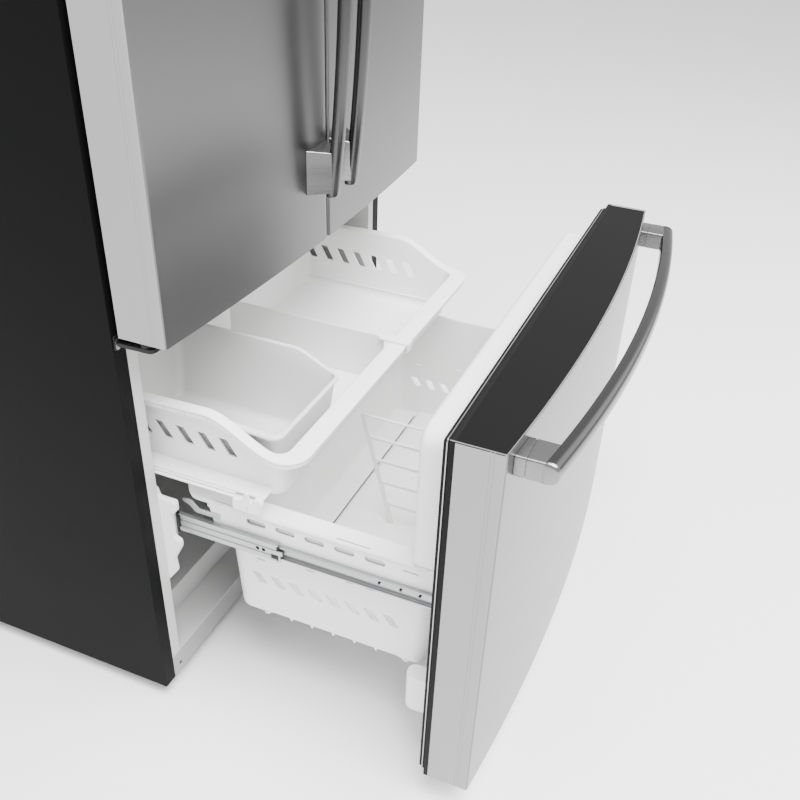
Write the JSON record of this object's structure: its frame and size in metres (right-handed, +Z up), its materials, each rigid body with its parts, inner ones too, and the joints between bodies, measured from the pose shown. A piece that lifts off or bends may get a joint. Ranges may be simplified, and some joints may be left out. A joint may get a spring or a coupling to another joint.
{
  "type": "bottom freezer refrigerator",
  "caption": "Bottom freezer refrigerator: crowned upper doors side by side with bowed bar handles over a freezer drawer drawn out on telescopic slides, with slotted baskets.",
  "frame": {"origin": "on the floor, in the middle of the footprint with the freezer drawer drawn out", "axes": "+Z up, the doors face -Y, +X to the right of someone who faces the doors"},
  "size_m": [0.908, 1.4188, 1.7783],
  "materials": {
    "charcoal_steel": "fine-textured dark grey paint, satin",
    "galvanised": "bright zinc plate",
    "stainless": "horizontally brushed, satin",
    "stainless_bar": "brushed along the bar, satin",
    "white_plastic": "smooth white",
    "charcoal_plastic": "fine-textured dark grey",
    "black_rubber": "matt black",
    "foam": null,
    "tempered_glass": "clear",
    "clear_plastic": "clear with a faint blue cast",
    "aluminium": "bare",
    "black_steel": "gloss black paint"
  },
  "bodies": {
    "cabinet": {"cabinet_shell": "charcoal_steel", "back_panel": "galvanised", "cabinet_foam": "foam", "fresh_food_liner": "white_plastic", "freezer_liner": "white_plastic", "toe_rail": "galvanised", "base_pan": "galvanised", "top_hinge_left": "charcoal_plastic", "top_hinge_right": "charcoal_plastic", "centre_hinge_left": "black_steel", "centre_hinge_right": "black_steel", "compressor": "black_steel", "condenser": "black_steel", "drain_pan": "charcoal_plastic", "evaporator": "aluminium", "evaporator_cover": "white_plastic", "rail_bracket_left": "white_plastic", "rail_bracket_right": "white_plastic", "slide_outer_left": "galvanised", "slide_outer_right": "galvanised", "glass_shelf": "tempered_glass", "crisper_shelf": "tempered_glass"},
    "left_door": {"left_door_skin": "stainless", "left_door_core": "white_plastic", "left_door_gasket": "black_rubber", "left_door_handle": "stainless_bar", "left_bin_upper": "clear_plastic", "left_bin_lower": "clear_plastic"},
    "right_door": {"right_door_skin": "stainless", "right_door_core": "white_plastic", "right_door_gasket": "black_rubber", "right_door_handle": "stainless_bar", "right_bin_upper": "clear_plastic", "right_bin_lower": "clear_plastic"},
    "flap": {"flipper_mullion": "charcoal_plastic"},
    "freezer_drawer": {"freezer_door_skin": "stainless", "freezer_door_cap": "charcoal_plastic", "freezer_door_core": "white_plastic", "freezer_door_gasket": "black_rubber", "freezer_door_handle": "stainless_bar", "drawer_frame": "white_plastic", "lower_basket": "white_plastic", "lower_divider": "white_plastic", "slide_inner_left": "galvanised", "slide_inner_right": "galvanised"},
    "slide_middles": {"slide_middle_left": "galvanised", "slide_middle_right": "galvanised"},
    "upper_basket_set": {"upper_basket": "white_plastic", "upper_divider": "white_plastic", "ice_bin": "white_plastic", "upper_rail_left": "white_plastic", "upper_rail_right": "white_plastic"},
    "crisper_left_drawer": {"crisper_left": "clear_plastic"},
    "crisper_right_drawer": {"crisper_right": "clear_plastic"},
    "condenser_fan_wheel": {"condenser_fan": "charcoal_plastic"},
    "evaporator_fan_wheel": {"evaporator_fan": "charcoal_plastic"},
    "roller_left": {"rear_roller_left": "white_plastic"},
    "roller_right": {"rear_roller_right": "white_plastic"},
    "leg_left": {"levelling_leg_left": "black_steel"},
    "leg_right": {"levelling_leg_right": "black_steel"}
  },
  "joints": [
    {"name": "left_door_hinge", "type": "hinge", "parent": "cabinet", "child": "left_door", "pos_m": [-0.44, -0.08363, 1.26], "axis": [0, 0, 1], "range_deg": [-130, 0]},
    {"name": "right_door_hinge", "type": "hinge", "parent": "cabinet", "child": "right_door", "pos_m": [0.44, -0.08363, 1.26], "axis": [0, 0, 1], "range_deg": [0, 130]},
    {"name": "flap_hinge", "type": "hinge", "parent": "left_door", "child": "flap", "pos_m": [-0.036, -0.02263, 1.251], "axis": [0, 0, 1], "range_deg": [-90, 0]},
    {"name": "freezer_drawer_slide", "type": "slide", "parent": "cabinet", "child": "freezer_drawer", "axis": [0, 1, 0], "range_m": [0, 0.49]},
    {"name": "slide_middles_slide", "type": "slide", "parent": "cabinet", "child": "slide_middles", "axis": [0, 1, 0], "range_m": [0, 0.245]},
    {"name": "upper_basket_slide", "type": "slide", "parent": "cabinet", "child": "upper_basket_set", "axis": [0, 1, 0], "range_m": [0, 0.31]},
    {"name": "crisper_left_slide", "type": "slide", "parent": "cabinet", "child": "crisper_left_drawer", "axis": [0, -1, 0], "range_m": [0, 0.1]},
    {"name": "crisper_right_slide", "type": "slide", "parent": "cabinet", "child": "crisper_right_drawer", "axis": [0, -1, 0], "range_m": [0, 0.1]},
    {"name": "condenser_fan_spin", "type": "hinge", "parent": "cabinet", "child": "condenser_fan_wheel", "pos_m": [-0.09, 0.58837, 0.122], "axis": [1, 0, 0], "continuous": true},
    {"name": "evaporator_fan_spin", "type": "hinge", "parent": "cabinet", "child": "evaporator_fan_wheel", "pos_m": [0, 0.57237, 0.625], "axis": [0, 1, 0], "continuous": true},
    {"name": "roller_left_spin", "type": "hinge", "parent": "cabinet", "child": "roller_left", "pos_m": [-0.38, 0.61637, 0.0125], "axis": [1, 0, 0], "continuous": true},
    {"name": "roller_right_spin", "type": "hinge", "parent": "cabinet", "child": "roller_right", "pos_m": [0.38, 0.61637, 0.0125], "axis": [1, 0, 0], "continuous": true},
    {"name": "leg_left_screw", "type": "hinge", "parent": "cabinet", "child": "leg_left", "pos_m": [-0.4, 0.02637, 0.01], "axis": [0, 0, 1], "continuous": true},
    {"name": "leg_right_screw", "type": "hinge", "parent": "cabinet", "child": "leg_right", "pos_m": [0.4, 0.02637, 0.01], "axis": [0, 0, 1], "continuous": true}
  ],
  "couplings": [
    {"joint": "slide_middles_slide", "follows": "freezer_drawer_slide", "ratio": 0.5},
    {"joint": "upper_basket_slide", "follows": "freezer_drawer_slide", "ratio": 0.63265}
  ]
}
